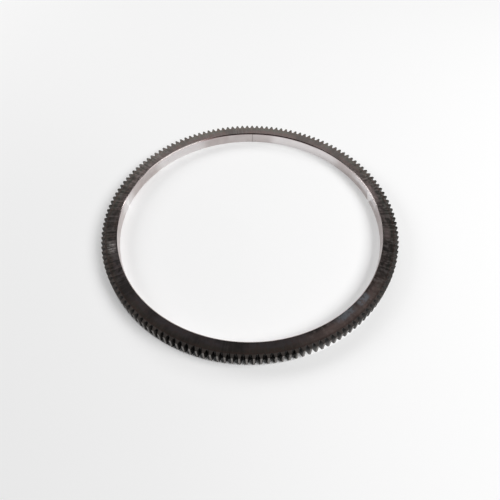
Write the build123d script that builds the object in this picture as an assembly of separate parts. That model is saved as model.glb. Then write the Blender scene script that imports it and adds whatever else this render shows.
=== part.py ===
from build123d import *
import math
import os

# A starter ring gear for a truck engine flywheel, in millimetres.
# It is one forged and turned steel ring with straight involute teeth cut round
# its outside. The plain bore is heated and shrunk over the rim of the flywheel.
# The origin is on the axis, in the plane of the back face, and +Z points out of
# the front face, where the starter pinion slides in. A tooth is centred on +X.

# Teeth
module = 3.0
tooth_count = 154
pressure_angle = 15.0
addendum = 3.0
dedendum = 3.75
root_relief = 0.6         # slanted flat in both bottom corners of a tooth space

# Ring
face_width = 20.0
rim_depth = 17.25         # solid metal from the bore to the bottom of the teeth
bore_chamfer = 1.0        # both ends of the bore, at 45 degrees

# Bevel round the front end of every tooth, which leads the pinion in
entry_width = 0.8         # taken off each side of the tooth at the front face
entry_depth = 1.6         # how far the bevel runs along the tooth
root_entry = 0.5          # turned off the rim's front edge between the teeth

# Chamfer across the back end of every tooth tip
tip_chamfer = 1.2
tip_chamfer_length = 0.7  # the same chamfer, measured along the tooth

# How deep a tooth is sunk in the rim that it is joined to
tooth_root = 2.0

pitch_radius = module * tooth_count / 2
tip_radius = pitch_radius + addendum
root_radius = pitch_radius - dedendum
bore_radius = root_radius - rim_depth
base_radius = pitch_radius * math.cos(math.radians(pressure_angle))


def involute(angle):
    """The involute function of an angle in radians."""
    return math.tan(angle) - angle


def flank_point(radius):
    """The point at this radius on the left flank of the tooth along +X."""
    angle = math.pi * module / 4 / pitch_radius
    angle += involute(math.radians(pressure_angle))
    angle -= involute(math.acos(base_radius / radius))
    return Vector(radius * math.cos(angle), radius * math.sin(angle))


def tooth_outline():
    """The tooth along +X, seen from the front and listed anticlockwise.

    Each flank is two flats through three points of its involute, which they
    leave by a few hundredths of a millimetre at most. The foot is inside the
    rim.
    """
    tip = flank_point(tip_radius)
    middle = flank_point(pitch_radius)
    low = flank_point(root_radius + root_relief)
    corner = flank_point(root_radius)
    foot = Vector(root_radius - root_entry, corner.Y + root_relief + root_entry)
    heel = Vector(root_radius - tooth_root, foot.Y)
    side = [tip, middle, low, foot, heel]
    return side + [Vector(point.X, -point.Y) for point in reversed(side)]


def inset(outline, distance):
    """The same outline with each of its sides moved inwards."""
    moved = []
    for k, here in enumerate(outline):
        following = outline[(k + 1) % len(outline)]
        arriving = (here - outline[k - 1]).normalized()
        leaving = (following - here).normalized()
        inwards = (arriving + leaving).rotate(Axis.Z, 90)
        moved.append(here + inwards * (distance / (1 + arriving.dot(leaving))))
    return moved


def tooth():
    """One whole tooth with its front bevel and its back tip chamfer."""
    outline = tooth_outline()
    bevelled = inset(outline, entry_width)
    back = outline
    shoulder = [point + Vector(0, 0, face_width - entry_depth) for point in outline]
    front = [point + Vector(0, 0, face_width) for point in bevelled]
    walls = [back, front]
    for near, far in ((back, shoulder), (shoulder, front)):
        for k in range(len(outline)):
            walls.append([near[k - 1], near[k], far[k], far[k - 1]])
    solid = Solid(Shell([Face(Wire.make_polygon(wall)) for wall in walls]))
    end = solid.faces().sort_by(Axis.Z)[0]
    tip_edge = end.edges().sort_by(Axis.X)[-1]
    return chamfer(tip_edge, tip_chamfer, tip_chamfer_length, reference=end)


def rim():
    """The ring that the teeth stand on.

    Its outside is one flat for the bottom of each tooth space, which leaves the
    root circle by about a micrometre, and its corners are inside the teeth.
    """
    with BuildPart() as ring:
        with BuildSketch():
            RegularPolygon(root_radius, tooth_count, major_radius=False)
            Circle(bore_radius, mode=Mode.SUBTRACT)
        extrude(amount=face_width)
        back, front = ring.faces().filter_by(Axis.Z).sort_by(Axis.Z)
        for end in (back, front):
            chamfer(end.inner_wires()[0].edges(), bore_chamfer)
        front = ring.faces().filter_by(Axis.Z).sort_by(Axis.Z)[-1]
        chamfer(front.outer_wire().edges(), root_entry)
    return ring.part


def ring_gear():
    one_tooth = tooth()
    with BuildPart() as gear:
        add(rim())
        with PolarLocations(0, tooth_count):
            add(one_tooth, clean=False)
    return gear.part.clean()


os.makedirs("parts", exist_ok=True)
ring = ring_gear()
ring.label = "ring_gear"
export_step(ring, "parts/ring_gear.step")
print("tip diameter", round(2 * tip_radius, 3))
print("bore diameter", round(2 * bore_radius, 3))
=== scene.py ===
import math

import bpy
from mathutils import Matrix, Vector


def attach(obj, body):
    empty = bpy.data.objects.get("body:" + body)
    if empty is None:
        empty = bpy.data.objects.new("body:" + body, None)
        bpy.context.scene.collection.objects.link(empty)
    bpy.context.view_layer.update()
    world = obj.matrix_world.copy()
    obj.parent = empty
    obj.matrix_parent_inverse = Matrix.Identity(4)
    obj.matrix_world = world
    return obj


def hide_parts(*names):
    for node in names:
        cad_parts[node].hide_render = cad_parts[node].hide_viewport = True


# The ring gear lies on its back face with its axis on Z. All sizes are in metres.
TEETH = 154
MODULE = 0.003
ADDENDUM = 0.003
DEDENDUM = 0.00375
FACE_WIDTH = 0.020
BORE_CHAMFER = 0.001

PITCH_RADIUS = MODULE * TEETH / 2
TIP_RADIUS = PITCH_RADIUS + ADDENDUM
ROOT_RADIUS = PITCH_RADIUS - DEDENDUM

GEAR_SIZES = {
    "Teeth": TEETH,
    "Module": MODULE,
    "Pressure Angle": math.radians(20),
    "Addendum": ADDENDUM,
    "Dedendum": DEDENDUM,
    "Root Fillet": 0.0014,
    "Rim Depth": 0.01725,
    "Face Width": FACE_WIDTH,
    "Bore Chamfer": BORE_CHAMFER,
    "Back Tip Chamfer": 0.0012,
    "Back Tip Chamfer Length": 0.0007,
    "Entry Width": 0.0003,
    "Entry Depth": 0.0006,
    "Root Entry": 0.0002,
    "Edge Break": 0.0002,
}

# Points of the mesh that lie nearer than this are one point
TOUCHING = 0.00001

# Edges that bend more than this are sharp, round the ring and along a tooth
SHARP_ROUND = math.radians(8)
SHARP_ALONG = math.radians(48)

# A place within this of a face has the finish of that face
SKIN = 0.0001

# Heat oxide on the faces, from the bore outwards, on the far side and the near one
BROWN_OXIDE = (0.091, 0.072, 0.068)
GREEN_OXIDE = (0.077, 0.078, 0.067)
NEAR_BORE_OXIDE = (0.118, 0.103, 0.110)
NEAR_TOOTH_OXIDE = (0.092, 0.076, 0.067)

# What lies over it
RUSTY_FLECK = (0.105, 0.066, 0.055)
SOOTY_CLOUD = (0.046, 0.041, 0.038)
PALE_RAY = (0.120, 0.112, 0.105)
DARK_GRAIN = (0.045, 0.038, 0.035)
BLACK_SCALE = (0.030, 0.027, 0.025)
BARED_STEEL = (0.178, 0.156, 0.151)
BROWN_HALO = (0.270, 0.195, 0.178)
BLUE_SHEEN = (0.330, 0.350, 0.385)
ROSY_MARK = (0.230, 0.180, 0.175)
SCUFFED_STEEL = (0.78, 0.73, 0.71)

# The teeth
RED_ROOT = (0.092, 0.055, 0.047)
GREY_FLANK = (0.040, 0.038, 0.035)
TOOTH_FRONT = (0.172, 0.150, 0.140)
# Painted shade in the tooth spaces
PAINTED_SPACE_SHADE = (0.014, 0.011, 0.010)
# Painted highlights on the tip lands and on the front bevels
PAINTED_LAND_HIGHLIGHT = (0.190, 0.172, 0.160)
PAINTED_BEVEL_HIGHLIGHT = (0.150, 0.138, 0.128)

# The bore and its chamfers
TURNED_STEEL = (0.62, 0.57, 0.56)
STAINED_STEEL = (0.52, 0.46, 0.45)
# Painted highlight in the bore
PAINTED_GLINT_STEEL = (0.84, 0.81, 0.81)
# Painted reflection in the bore
PAINTED_REFLECTION_STEEL = (0.98, 0.96, 0.96)
FEED_LINE = (0.46, 0.42, 0.41)
WARM_STEEL = (0.62, 0.50, 0.50)
DARK_SPECK = (0.24, 0.20, 0.19)
CHAMFER_STEEL = (0.60, 0.53, 0.52)
OXIDE_CHAMFER = (0.090, 0.080, 0.079)
CREPT_OXIDE = (0.075, 0.042, 0.040)

# Painted reflections, as bright wedges in the bore: degrees round it, half their
# width at its back and at its front in radians, and strength
PAINTED_BORE_REFLECTIONS = (
    (15.0, 0.010, 0.075, 1.0),
    (168.0, 0.010, 0.045, 0.7),
)

# Name, degrees round the ring from +X, degrees up, width, height, watts
STUDIO_LAMPS = (
    ("right_softbox", -18, 44, 1.9, 1.3, 66),
    ("low_lamp", 33, 24, 0.2, 0.3, 1.0),
    ("left_softbox", 158, 27, 1.0, 1.0, 28),
    ("back_panel", 90, 37, 2.1, 0.9, 17),
)
# From the middle of the ring to every lamp
LAMP_DISTANCE = 2.6


class Value:
    """A number in a node tree. Sums written with it become Math nodes."""

    def __init__(self, socket):
        self.socket = socket
        self.tree = socket.id_data

    def maths(self, operation, *numbers):
        node = add_node(
            self.tree, "ShaderNodeMath", {"operation": operation}, dict(enumerate(numbers))
        )
        return Value(node.outputs[0])

    def __add__(self, other):
        return self.maths("ADD", self, other)

    def __radd__(self, other):
        return self.maths("ADD", other, self)

    def __sub__(self, other):
        return self.maths("SUBTRACT", self, other)

    def __rsub__(self, other):
        return self.maths("SUBTRACT", other, self)

    def __mul__(self, other):
        return self.maths("MULTIPLY", self, other)

    def __rmul__(self, other):
        return self.maths("MULTIPLY", other, self)

    def __truediv__(self, other):
        return self.maths("DIVIDE", self, other)

    def __rtruediv__(self, other):
        return self.maths("DIVIDE", other, self)

    def sin(self):
        return self.maths("SINE", self)

    def cos(self):
        return self.maths("COSINE", self)

    def tan(self):
        return self.maths("TANGENT", self)

    def arccos(self):
        return self.maths("ARCCOSINE", self)

    def root(self):
        return self.maths("SQRT", self)

    def floor(self):
        return self.maths("FLOOR", self)

    def size(self):
        return self.maths("ABSOLUTE", self)

    def sign(self):
        return self.maths("SIGN", self)

    def at_least(self, other):
        return self.maths("MAXIMUM", self, other)

    def at_most(self, other):
        return self.maths("MINIMUM", self, other)

    def above(self, other):
        return self.maths("GREATER_THAN", self, other)

    def below(self, other):
        return self.maths("LESS_THAN", self, other)

    def ramp(self, start, end):
        """0 up to start, 1 from end on, and a soft step between them."""
        node = add_node(
            self.tree,
            "ShaderNodeMapRange",
            {"interpolation_type": "SMOOTHSTEP"},
            {0: self, 1: start, 2: end, 3: 0.0, 4: 1.0},
        )
        return Value(node.outputs[0])

    def band(self, middle, half, soft):
        """1 within half of the middle, fading to 0 over soft on either side."""
        return 1 - (self - middle).size().ramp(half, half + soft)


def connect(place, value):
    """Link a socket or a Value into an input, or set the input to a number."""
    if isinstance(value, Value):
        value = value.socket
    if isinstance(value, bpy.types.NodeSocket):
        place.id_data.links.new(value, place)
    else:
        place.default_value = value


def add_node(tree, kind, settings=None, values=None):
    """A node of a tree with its settings made first and then its inputs."""
    node = tree.nodes.new(kind)
    for name, setting in (settings or {}).items():
        setattr(node, name, setting)
    for name, value in (values or {}).items():
        connect(node.inputs[name], value)
    return node


def vector_of(tree, x, y, z):
    return add_node(tree, "ShaderNodeCombineXYZ", None, {0: x, 1: y, 2: z}).outputs[0]


def parts_of(tree, vector):
    node = add_node(tree, "ShaderNodeSeparateXYZ", None, {0: vector})
    return [Value(socket) for socket in node.outputs]


def chosen(tree, number, vectors):
    """The three parts of the vector that has this number in a list."""
    switch = add_node(tree, "GeometryNodeIndexSwitch", {"data_type": "VECTOR"})
    while len(switch.index_switch_items) < len(vectors):
        switch.index_switch_items.new()
    connect(switch.inputs[0], number)
    for place, vector in zip(list(switch.inputs)[1:], vectors):
        connect(place, vector)
    return parts_of(tree, switch.outputs[0])


def section_rows(size):
    """The rows of the grid round the ring's section, out over the back face first.

    A row has its height, how far the edge there is broken, and its radius. A
    radius of 0 leaves the row to the outline of the tooth.
    """
    width = size["Face Width"]
    chamfer = size["Bore Chamfer"]
    edge = size["Edge Break"]
    bore_radius = size["Bore Radius"]
    return [
        (0.0, 0.0, bore_radius + chamfer),
        (0.0, edge, 0.0),
        (edge, 0.0, 0.0),
        (size["Back Tip Chamfer Length"], 0.0, 0.0),
        (width - size["Entry Depth"], 0.0, 0.0),
        (width - size["Root Entry"], 0.0, 0.0),
        (width, 0.0, 0.0),
        (width, 0.0, bore_radius + chamfer),
        (width - chamfer, 0.0, bore_radius),
        (chamfer, 0.0, bore_radius),
        (0.0, 0.0, bore_radius + chamfer),
    ]


def tooth_outline(tree, size, height, broken):
    """Half a tooth space and the flank beside it, from the bottom to the tip.

    Each point is given from the middle of the space, at this height on the ring.
    """
    width = size["Face Width"]
    pressure = size["Pressure Angle"]
    pitch_radius = size["Pitch Radius"]
    base_radius = pitch_radius * pressure.cos()
    half_pitch = math.pi / size["Teeth"]

    # How far the front bevel and the back chamfer have gone at this height
    entry = (1 - (width - height) / size["Entry Depth"]).at_least(0.0)
    bevel = entry * size["Entry Width"]
    root_bevel = (height - width + size["Root Entry"]).at_least(0.0)
    tip_chamfer = (1 - height / size["Back Tip Chamfer Length"]).at_least(0.0)
    top = size["Tip Radius"] - (bevel + tip_chamfer * size["Back Tip Chamfer"] + broken)
    bottom = size["Root Radius"] - (root_bevel + broken)
    widened = (bevel + broken) / pressure.cos()

    def half_space(radius):
        """Half the angle of a tooth space at this radius."""
        profile = (base_radius / radius).arccos()
        half_tooth = size["Module"] * math.pi / 4 / pitch_radius
        half_tooth += pressure.tan() - pressure - (profile.tan() - profile)
        return half_pitch - half_tooth + widened / radius

    # The middle of the circle that rounds the bottom corner of the space
    profile = (base_radius / bottom.at_least(base_radius)).arccos()
    fillet = size["Root Fillet"]
    centre_x = bottom + fillet
    centre_y = bottom * half_space(bottom) + fillet * profile.tan() - fillet / profile.cos()

    def corner(share):
        turn = (math.pi / 2 - profile) * share
        return vector_of(tree, centre_x - fillet * turn.cos(), centre_y + fillet * turn.sin(), 0.0)

    return [
        vector_of(tree, bottom, 0.0, 0.0),
        corner(0.0),
        corner(0.5),
        corner(1.0),
        vector_of(tree, pitch_radius, pitch_radius * half_space(pitch_radius), 0.0),
        vector_of(tree, top, top * half_space(top), 0.0),
    ]


def shaded(tree, ring):
    """The ring smooth, but sharp wherever its section turns and at the tooth tips."""
    ends = add_node(tree, "GeometryNodeInputMeshEdgeVertices")
    first_z = parts_of(tree, ends.outputs["Position 1"])[2]
    second_z = parts_of(tree, ends.outputs["Position 2"])[2]
    lengthwise = (first_z - second_z).size().above(TOUCHING)
    bend = Value(add_node(tree, "GeometryNodeInputMeshEdgeAngle").outputs["Unsigned Angle"])
    sharp = bend.above(SHARP_ROUND + lengthwise * (SHARP_ALONG - SHARP_ROUND))
    smooth = add_node(tree, "GeometryNodeSetShadeSmooth", {"domain": "FACE"}, {0: ring})
    creased = add_node(
        tree,
        "GeometryNodeSetShadeSmooth",
        {"domain": "EDGE"},
        {0: smooth.outputs[0], "Selection": sharp, "Shade Smooth": False},
    )
    return creased.outputs[0]


def gear_tree(oxide, bright):
    """A toothed ring as a node tree.

    One sector, from the middle of a tooth space to the middle of the next, is a
    grid bent round the ring's section, and it is repeated round the axis.
    """
    tree = bpy.data.node_groups.new("toothed_ring", "GeometryNodeTree")
    for name, value in GEAR_SIZES.items():
        kind = "NodeSocketInt" if isinstance(value, int) else "NodeSocketFloat"
        tree.interface.new_socket(name, in_out="INPUT", socket_type=kind)
    tree.interface.new_socket("Ring", in_out="OUTPUT", socket_type="NodeSocketGeometry")
    start = add_node(tree, "NodeGroupInput")
    size = {name: Value(start.outputs[name]) for name in GEAR_SIZES}
    size["Pitch Radius"] = size["Module"] * size["Teeth"] / 2
    size["Tip Radius"] = size["Pitch Radius"] + size["Addendum"]
    size["Root Radius"] = size["Pitch Radius"] - size["Dedendum"]
    size["Bore Radius"] = size["Root Radius"] - size["Rim Depth"]
    half_pitch = math.pi / size["Teeth"]

    rows = section_rows(size)
    index = Value(add_node(tree, "GeometryNodeInputIndex").outputs[0])
    column = ((index + 0.5) / len(rows)).floor()
    row = index - column * len(rows)
    height, broken, plain = chosen(tree, row, [vector_of(tree, *numbers) for numbers in rows])

    # The columns run over the outline to the middle of the tooth and back down it.
    # A half is added to the number of a point, because the switch cuts off fractions.
    outline = tooth_outline(tree, size, height, broken)
    columns = 2 * len(outline)
    from_middle = column - (columns - 1) / 2
    point = (columns - 1) / 2 - from_middle.size()
    x, y, unused = chosen(tree, point + 0.5, outline)
    radius = x * (1 - plain.above(0.0)) + plain
    angle = (half_pitch - y / x) * from_middle.sign()
    place = vector_of(tree, radius * angle.cos(), radius * angle.sin(), height)
    grid = add_node(
        tree, "GeometryNodeMeshGrid", None, {"Vertices X": columns, "Vertices Y": len(rows)}
    )
    sector = add_node(
        tree, "GeometryNodeSetPosition", None, {"Geometry": grid.outputs[0], "Position": place}
    )

    points = add_node(tree, "GeometryNodePoints", None, {"Count": size["Teeth"]})
    turn = vector_of(tree, 0.0, 0.0, index * half_pitch * 2)
    repeated = add_node(
        tree,
        "GeometryNodeInstanceOnPoints",
        None,
        {"Points": points.outputs[0], "Instance": sector.outputs[0], "Rotation": turn},
    )
    real = add_node(tree, "GeometryNodeRealizeInstances", None, {0: repeated.outputs[0]})
    joined = add_node(
        tree, "GeometryNodeMergeByDistance", None, {0: real.outputs[0], "Distance": TOUCHING}
    )
    ring = shaded(tree, joined.outputs[0])

    # The bore is bright as far out as its chamfers reach, and the rest is oxide
    face_x, face_y, unused = parts_of(tree, add_node(tree, "GeometryNodeInputPosition").outputs[0])
    bright_radius = size["Bore Radius"] + size["Bore Chamfer"] * 0.9
    inside = (face_x * face_x + face_y * face_y).root().below(bright_radius)
    dark = add_node(tree, "GeometryNodeSetMaterial", None, {0: ring, "Material": oxide})
    finished = add_node(
        tree,
        "GeometryNodeSetMaterial",
        None,
        {0: dark.outputs[0], "Selection": inside, "Material": bright},
    )
    add_node(tree, "NodeGroupOutput", None, {0: finished.outputs[0]})
    return tree


def toothed_ring(oxide, bright):
    """The gear as one plain mesh."""
    piece = bpy.data.objects.new("toothed_ring", bpy.data.meshes.new("toothed_ring"))
    bpy.context.scene.collection.objects.link(piece)
    tree = gear_tree(oxide, bright)
    modifier = piece.modifiers.new("toothed_ring", "NODES")
    modifier.node_group = tree
    for socket in tree.interface.items_tree:
        if socket.in_out == "INPUT":
            modifier[socket.identifier] = GEAR_SIZES[socket.name]
    graph = bpy.context.evaluated_depsgraph_get()
    mesh = bpy.data.meshes.new_from_object(piece.evaluated_get(graph))
    piece.modifiers.clear()
    piece.data = mesh
    mesh.name = "toothed_ring"
    return piece


class Finish:
    """A new material with its shader and the place on the ring that it reads."""

    def __init__(self, name, **uniform):
        self.material = bpy.data.materials.new(name)
        self.material.use_nodes = True
        self.tree = self.material.node_tree
        self.shader = self.tree.nodes["Principled BSDF"]
        for socket, value in uniform.items():
            self.shader.inputs[socket].default_value = value
        self.place = add_node(self.tree, "ShaderNodeTexCoord").outputs["Object"]
        self.x, self.y, self.z = parts_of(self.tree, self.place)
        self.radius = (self.x * self.x + self.y * self.y).root()
        self.angle = self.y.maths("ARCTAN2", self.y, self.x)
        self.way_out = vector_of(self.tree, self.x / self.radius, self.y / self.radius, 0.0)

    def noise(self, scale, detail, roughness=0.55, place=None, seed=0.0):
        """Noise over the ring. Read at the way out, it makes rays from the axis."""
        node = add_node(
            self.tree,
            "ShaderNodeTexNoise",
            {"noise_dimensions": "4D"},
            {
                "Vector": place or self.place,
                "W": seed,
                "Scale": scale,
                "Detail": detail,
                "Roughness": roughness,
            },
        )
        return Value(node.outputs[0])

    def line_noise(self, number, scale):
        """Noise that changes with one number only, for lines across it."""
        node = add_node(
            self.tree,
            "ShaderNodeTexNoise",
            {"noise_dimensions": "1D"},
            {"W": number, "Scale": scale, "Detail": 2.0},
        )
        return Value(node.outputs[0])

    def mixed(self, amount, under, over):
        """One colour with an amount of another over it."""
        under, over = (
            colour if isinstance(colour, bpy.types.NodeSocket) else (*colour, 1)
            for colour in (under, over)
        )
        node = add_node(
            self.tree, "ShaderNodeMix", {"data_type": "RGBA"}, {0: amount, 6: under, 7: over}
        )
        return node.outputs[2]

    def bump(self, height, strength, distance, under=None):
        """Relief of this height, on top of other relief where there is some."""
        values = {"Strength": strength, "Distance": distance, "Height": height}
        if under:
            values["Normal"] = under
        return add_node(self.tree, "ShaderNodeBump", None, values).outputs[0]

    def across(self, middle):
        """How far round the ring it is from this angle, in radians either way."""
        turned = self.angle - math.radians(middle)
        return turned.maths("WRAP", turned, math.pi, -math.pi)

    def sector(self, middle, half, soft):
        """1 on the part of the ring round this angle in degrees, with soft ends."""
        return self.across(middle).band(0.0, math.radians(half), math.radians(soft))

    def patch(self, middle, half, radius, depth):
        """A soft patch on the ring, its length in degrees and its depth in metres."""
        return self.sector(middle, half * 0.5, half) * self.radius.band(radius, depth * 0.4, depth)

    def finished(self, colour, roughness, relief):
        connect(self.shader.inputs["Base Color"], colour)
        connect(self.shader.inputs["Roughness"], roughness)
        connect(self.shader.inputs["Normal"], relief)
        return self.material


def face_colour(finish, cloud, fleck, grain):
    """Oxide that is brown on the bore's side and grey green towards the teeth."""
    rays = finish.noise(90, 3, place=finish.way_out, seed=7.0)
    outer = (finish.radius + (cloud - 0.5) * 0.016).ramp(0.2185, 0.2240)
    near = finish.sector(-108, half=48, soft=18) * 0.8
    colour = finish.mixed(outer, BROWN_OXIDE, GREEN_OXIDE)
    colour = finish.mixed(near, colour, finish.mixed(outer, NEAR_BORE_OXIDE, NEAR_TOOTH_OXIDE))
    colour = finish.mixed(fleck.ramp(0.46, 0.62) * 0.50, colour, RUSTY_FLECK)
    colour = finish.mixed(cloud.ramp(0.52, 0.40) * 0.70, colour, SOOTY_CLOUD)
    colour = finish.mixed(rays.ramp(0.50, 0.62) * 0.40, colour, PALE_RAY)
    return finish.mixed(grain.ramp(0.45, 0.62) * 0.35, colour, DARK_GRAIN)


def mottled(finish, colour, blotches):
    """Scale that is thick here and flaked there, on the right and the left of the ring."""
    streaks = finish.noise(60, 3, place=finish.way_out, seed=13.0)
    right = streaks * 0.35 + blotches * 0.65
    left = streaks * 0.5 + blotches * 0.5
    scale = finish.sector(-5, half=35, soft=12) * right.ramp(0.49, 0.56)
    scale = scale + finish.sector(176, half=30, soft=14) * left.ramp(0.49, 0.57)
    bared = finish.sector(-22, half=42, soft=14) * right.ramp(0.50, 0.42)
    bared = bared + finish.sector(172, half=34, soft=12) * left.ramp(0.50, 0.42) * 0.7
    colour = finish.mixed(scale.at_most(1.0) * 0.80, colour, BLACK_SCALE)
    return finish.mixed(bared.at_most(1.0) * 0.72, colour, BARED_STEEL)


def blue_sheen(finish, blotches):
    """Where the hardening heat has left a blue grey sheen."""
    sheen = finish.patch(-52.5, half=4.0, radius=0.2155, depth=0.0050)
    sheen = sheen + finish.patch(-43.0, half=2.6, radius=0.2160, depth=0.0050)
    return (sheen * (0.15 + blotches.ramp(0.38, 0.60))).at_most(0.95)


def heat_marked(finish, colour, fleck, blotches, sheen):
    """The sheen with brown round it, and two rosy marks further round."""
    around = finish.patch(-52.0, half=18.0, radius=0.2215, depth=0.0065)
    rosy = finish.patch(-8.0, half=2.6, radius=0.2165, depth=0.0045)
    rosy = rosy + finish.patch(15.0, half=5.0, radius=0.2140, depth=0.0040)
    colour = finish.mixed(around * (0.2 + fleck * 0.7), colour, BROWN_HALO)
    colour = finish.mixed(sheen, colour, BLUE_SHEEN)
    return finish.mixed(rosy * (0.2 + blotches.ramp(0.4, 0.6) * 0.7), colour, ROSY_MARK)


def scuffed(finish, colour, fleck, blotches):
    """Scuffs across the face where rings have been dragged over each other."""
    scratch = finish.noise(300, 2, place=finish.way_out, seed=11.0).ramp(0.44, 0.58)
    scuff = finish.patch(-164.8, half=2.6, radius=0.2185, depth=0.0062)
    scuff = scuff * scratch * fleck.ramp(0.35, 0.55)
    scuff = scuff * (0.25 + blotches.ramp(0.42, 0.56) * 0.75)
    return finish.mixed(scuff, colour, SCUFFED_STEEL)


def tooth_colour(finish, colour, fleck):
    """Teeth that are red at the root, with painted shade deep in their spaces, lighter ends on the
    near side, and painted highlights on their tip lands and front bevels.
    """
    radius, height = finish.radius, finish.z
    front = height.above(FACE_WIDTH - SKIN)
    sides = height.below(FACE_WIDTH - SKIN)
    roots = radius.band(ROOT_RADIUS, half=0.0006, soft=0.0022) * front
    flanks = radius.above(ROOT_RADIUS + 0.0003) * sides
    ends = radius.above(ROOT_RADIUS + 0.0005) * front * finish.sector(-95, half=75, soft=20)
    # Painted shade deep in the tooth spaces, darkest near the root
    shaded_spaces = height.above(GEAR_SIZES["Edge Break"] + SKIN) * sides
    shaded_spaces = shaded_spaces * radius.ramp(ROOT_RADIUS + 0.0050, ROOT_RADIUS + 0.0015)
    # Painted highlight on the tip lands
    highlit_lands = radius.ramp(TIP_RADIUS - 0.0006, TIP_RADIUS - 0.0002)
    # Painted highlight along the front bevels of the flanks
    highlit_bevels = height.ramp(FACE_WIDTH - 0.0007, FACE_WIDTH - 0.0005) * flanks
    colour = finish.mixed(roots * 0.40, colour, RED_ROOT)
    colour = finish.mixed(flanks * 0.80, colour, GREY_FLANK)
    colour = finish.mixed(ends * (0.35 + fleck * 0.5), colour, TOOTH_FRONT)
    colour = finish.mixed(shaded_spaces * 0.88, colour, PAINTED_SPACE_SHADE)
    colour = finish.mixed(highlit_lands * (0.55 + fleck * 0.5), colour, PAINTED_LAND_HIGHLIGHT)
    return finish.mixed(highlit_bevels * 0.50, colour, PAINTED_BEVEL_HIGHLIGHT)


def oxide_finish():
    """Dark heat oxide over turned faces and cut teeth."""
    finish = Finish("heat_oxide", Metallic=0.9, IOR=1.6)
    cloud = finish.noise(24, 4)
    fleck = finish.noise(170, 4, seed=3.0)
    grain = finish.noise(1100, 2, seed=5.0)
    blotches = finish.noise(150, 4, roughness=0.65, seed=17.0)
    turned = finish.line_noise(finish.radius, 2400)
    sheen = blue_sheen(finish, blotches)

    colour = face_colour(finish, cloud, fleck, grain)
    colour = mottled(finish, colour, blotches)
    colour = heat_marked(finish, colour, fleck, blotches, sheen)
    colour = scuffed(finish, colour, fleck, blotches)
    colour = tooth_colour(finish, colour, fleck)

    roughness = 0.25 + cloud * 0.08 + fleck * 0.08 + turned * 0.04 - sheen * 0.04
    relief = finish.bump(fleck * 0.7 + grain * 0.3, strength=0.25, distance=0.00012)
    relief = finish.bump(turned, strength=0.12, distance=0.00003, under=relief)
    return finish.finished(colour, roughness, relief)


def bore_colour(finish, stains, feed):
    """Turned steel with stains, feed lines and specks, and bright bands and wedges that are painted
    highlights and painted reflections.
    """
    height = finish.z
    fleck = finish.noise(240, 3, seed=9.0)
    colour = finish.mixed(stains.ramp(0.4, 0.7), TURNED_STEEL, STAINED_STEEL)
    # Painted highlights: bright bands where the lamps glint in the wall
    painted_glints = finish.sector(60, half=15, soft=6) + finish.sector(128, half=10, soft=7)
    painted_glints = painted_glints + finish.sector(168, half=3, soft=5)
    painted_glints = painted_glints + finish.sector(18, half=8, soft=6) * height.ramp(0.006, 0.013)
    colour = finish.mixed(painted_glints.at_most(1.0) * 0.8, colour, PAINTED_GLINT_STEEL)
    # Painted reflections: a bright wedge, widest at the front, at each place listed
    for middle, back, front, strength in PAINTED_BORE_REFLECTIONS:
        half_width = height * ((front - back) / FACE_WIDTH) + back
        painted_wedge = (finish.across(middle).size() / half_width).ramp(1.0, 0.5)
        painted_wedge = painted_wedge * finish.sector(middle, half=8, soft=6) * strength
        colour = finish.mixed(painted_wedge, colour, PAINTED_REFLECTION_STEEL)
    colour = finish.mixed(feed.ramp(0.5, 0.8) * 0.25, colour, FEED_LINE)
    colour = finish.mixed(height.ramp(0.015, 0.019) * 0.35, colour, WARM_STEEL)
    specks = fleck.ramp(0.68, 0.74) + finish.sector(88.6, half=0.12, soft=0.2) * 0.6
    return finish.mixed(specks.at_most(0.7), colour, DARK_SPECK)


def bright_finish():
    """Machined steel in the bore and on its chamfers."""
    finish = Finish("turned_steel", Metallic=1.0)
    stains = finish.noise(30, 4, seed=5.0)
    feed = finish.line_noise(finish.z, 2200)
    colour = bore_colour(finish, stains, feed)

    # The front chamfer, and oxide that has crept over the far part of it
    bore_front = FACE_WIDTH - BORE_CHAMFER
    chamfer = finish.z.ramp(bore_front, bore_front + 0.0001)
    oxidised = finish.sector(19, half=15, soft=6) + finish.sector(132, half=19, soft=6)
    edge = finish.mixed(oxidised, CHAMFER_STEEL, OXIDE_CHAMFER)
    colour = finish.mixed(chamfer, colour, edge)
    crept = finish.z.ramp(bore_front - 0.0014, bore_front - 0.0006)
    crept = crept * finish.sector(84, half=26, soft=9)
    colour = finish.mixed(crept * 0.95, colour, CREPT_OXIDE)

    roughness = 0.28 + stains * 0.08 + feed * 0.06 - chamfer * 0.16
    relief = finish.bump(feed, strength=0.15, distance=0.00003)
    return finish.finished(colour, roughness, relief)


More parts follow.
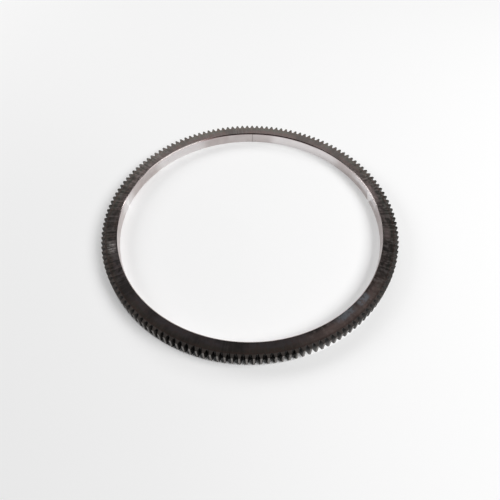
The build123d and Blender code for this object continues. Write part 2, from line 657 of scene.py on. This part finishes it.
def studio_floor():
    """A white floor that keeps the ring's shadow.

    A share of plain white is added where the floor is seen or mirrored. Under the
    teeth the share is small, but not on the right, where light falls into the tooth
    spaces. It is also smaller on the shaded left, and it grows to the whole far off.
    """
    bpy.ops.mesh.primitive_plane_add(size=14)
    floor = bpy.context.object
    floor.name = "studio_floor"
    material = bpy.data.materials.new("studio_white")
    material.use_nodes = True
    tree = material.node_tree
    shader = tree.nodes["Principled BSDF"]
    shader.inputs["Base Color"].default_value = (0.93, 0.93, 0.93, 1)
    shader.inputs["Roughness"].default_value = 0.7
    shader.inputs["Specular IOR Level"].default_value = 0.2
    path = add_node(tree, "ShaderNodeLightPath")
    seen = Value(path.outputs["Is Camera Ray"]).at_least(Value(path.outputs["Is Glossy Ray"]))

    x, y, unused = parts_of(tree, add_node(tree, "ShaderNodeTexCoord").outputs["Object"])
    radius = (x * x + y * y).root()

    def towards(degrees):
        """1 in this direction from the middle of the floor and 0 square to it."""
        turn = math.radians(degrees)
        return (x * math.cos(turn) + y * math.sin(turn)) / radius

    # Painted light and shade on the floor: less glow under the teeth and on the left is painted
    # shade, more in the tooth spaces on the right is painted light
    open_side = towards(-54).ramp(0.928, 0.973)
    shaded_side = towards(-148).ramp(0.0, 0.8)
    under_teeth = radius.band(0.2265, half=0.0076, soft=0.0010)
    share = 0.34 - shaded_side * (0.05 + radius.ramp(0.238, 0.290) * 0.11)
    share = share - under_teeth * (share - 0.03 - open_side * 0.80)
    share = share + radius.ramp(1.2, 4.0) * 0.66
    glow = add_node(tree, "ShaderNodeEmission", None, {"Strength": 1.0})
    mix = add_node(
        tree, "ShaderNodeMixShader", None, {0: seen * share, 1: shader.outputs[0], 2: glow.outputs[0]}
    )
    connect(tree.nodes["Material Output"].inputs["Surface"], mix.outputs[0])
    floor.data.materials.append(material)


def studio_world():
    """White where it is seen, and nearly dark to the ring, which the lamps light."""
    world = bpy.data.worlds.new("studio")
    world.use_nodes = True
    bpy.context.scene.world = world
    tree = world.node_tree
    sky = tree.nodes["Background"]
    sky.inputs["Color"].default_value = (1, 1, 1, 1)
    path = add_node(tree, "ShaderNodeLightPath")
    seen = Value(path.outputs["Is Camera Ray"])
    mirrored = Value(path.outputs["Is Glossy Ray"])
    connect(sky.inputs["Strength"], seen + mirrored * 0.02 + 0.01)


def studio_lamps():
    """Two softboxes, a weak panel behind and a small lamp low on the right."""
    for name, round_angle, up_angle, width, height, power in STUDIO_LAMPS:
        round_angle, up_angle = math.radians(round_angle), math.radians(up_angle)
        out = LAMP_DISTANCE * math.cos(up_angle)
        up = LAMP_DISTANCE * math.sin(up_angle)
        place = Vector((out * math.cos(round_angle), out * math.sin(round_angle), up))
        light = bpy.data.lights.new(name, "AREA")
        light.shape = "RECTANGLE"
        light.size = width
        light.size_y = height
        light.energy = power
        lamp = bpy.data.objects.new(name, light)
        lamp.location = place
        lamp.rotation_euler = (-place).to_track_quat("-Z", "Y").to_euler()
        bpy.context.scene.collection.objects.link(lamp)


def photo_camera():
    """The camera, fitted to the ring's edges and tooth tips."""
    image_width = 500
    focal_pixels = 411.2
    sensor = 36.0
    distance = 2.8293 * TIP_RADIUS
    elevation = math.radians(49.946)
    tilt = math.radians(-4.4035)
    roll = math.radians(-0.1613)
    centre = Vector((0, 0, FACE_WIDTH))
    ahead = Vector((0, math.cos(elevation), -math.sin(elevation)))
    right = Vector((1, 0, 0))
    up = Vector((0, math.sin(elevation), math.cos(elevation)))
    view = ahead * math.cos(tilt) + up * math.sin(tilt)
    top = up * math.cos(tilt) - ahead * math.sin(tilt)
    rolled_right = right * math.cos(roll) + top * math.sin(roll)
    rolled_top = top * math.cos(roll) - right * math.sin(roll)
    data = bpy.data.cameras.new("photo_camera")
    data.sensor_width = sensor
    data.lens = sensor * focal_pixels / image_width
    camera = bpy.data.objects.new("photo_camera", data)
    bpy.context.scene.collection.objects.link(camera)
    pose = Matrix((rolled_right, rolled_top, -view)).transposed().to_4x4()
    pose.translation = centre - ahead * distance
    camera.matrix_world = pose
    bpy.context.scene.camera = camera


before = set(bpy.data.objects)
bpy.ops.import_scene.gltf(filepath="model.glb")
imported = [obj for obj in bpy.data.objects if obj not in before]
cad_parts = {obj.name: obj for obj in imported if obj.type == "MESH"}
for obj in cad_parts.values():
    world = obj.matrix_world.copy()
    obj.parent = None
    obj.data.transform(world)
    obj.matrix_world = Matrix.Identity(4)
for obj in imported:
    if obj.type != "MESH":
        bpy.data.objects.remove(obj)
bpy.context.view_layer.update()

gear = toothed_ring(oxide_finish(), bright_finish())
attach(gear, "root")
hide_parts("ring_gear")

studio_floor()
studio_world()
studio_lamps()
photo_camera()
bpy.context.scene.view_settings.view_transform = "Standard"
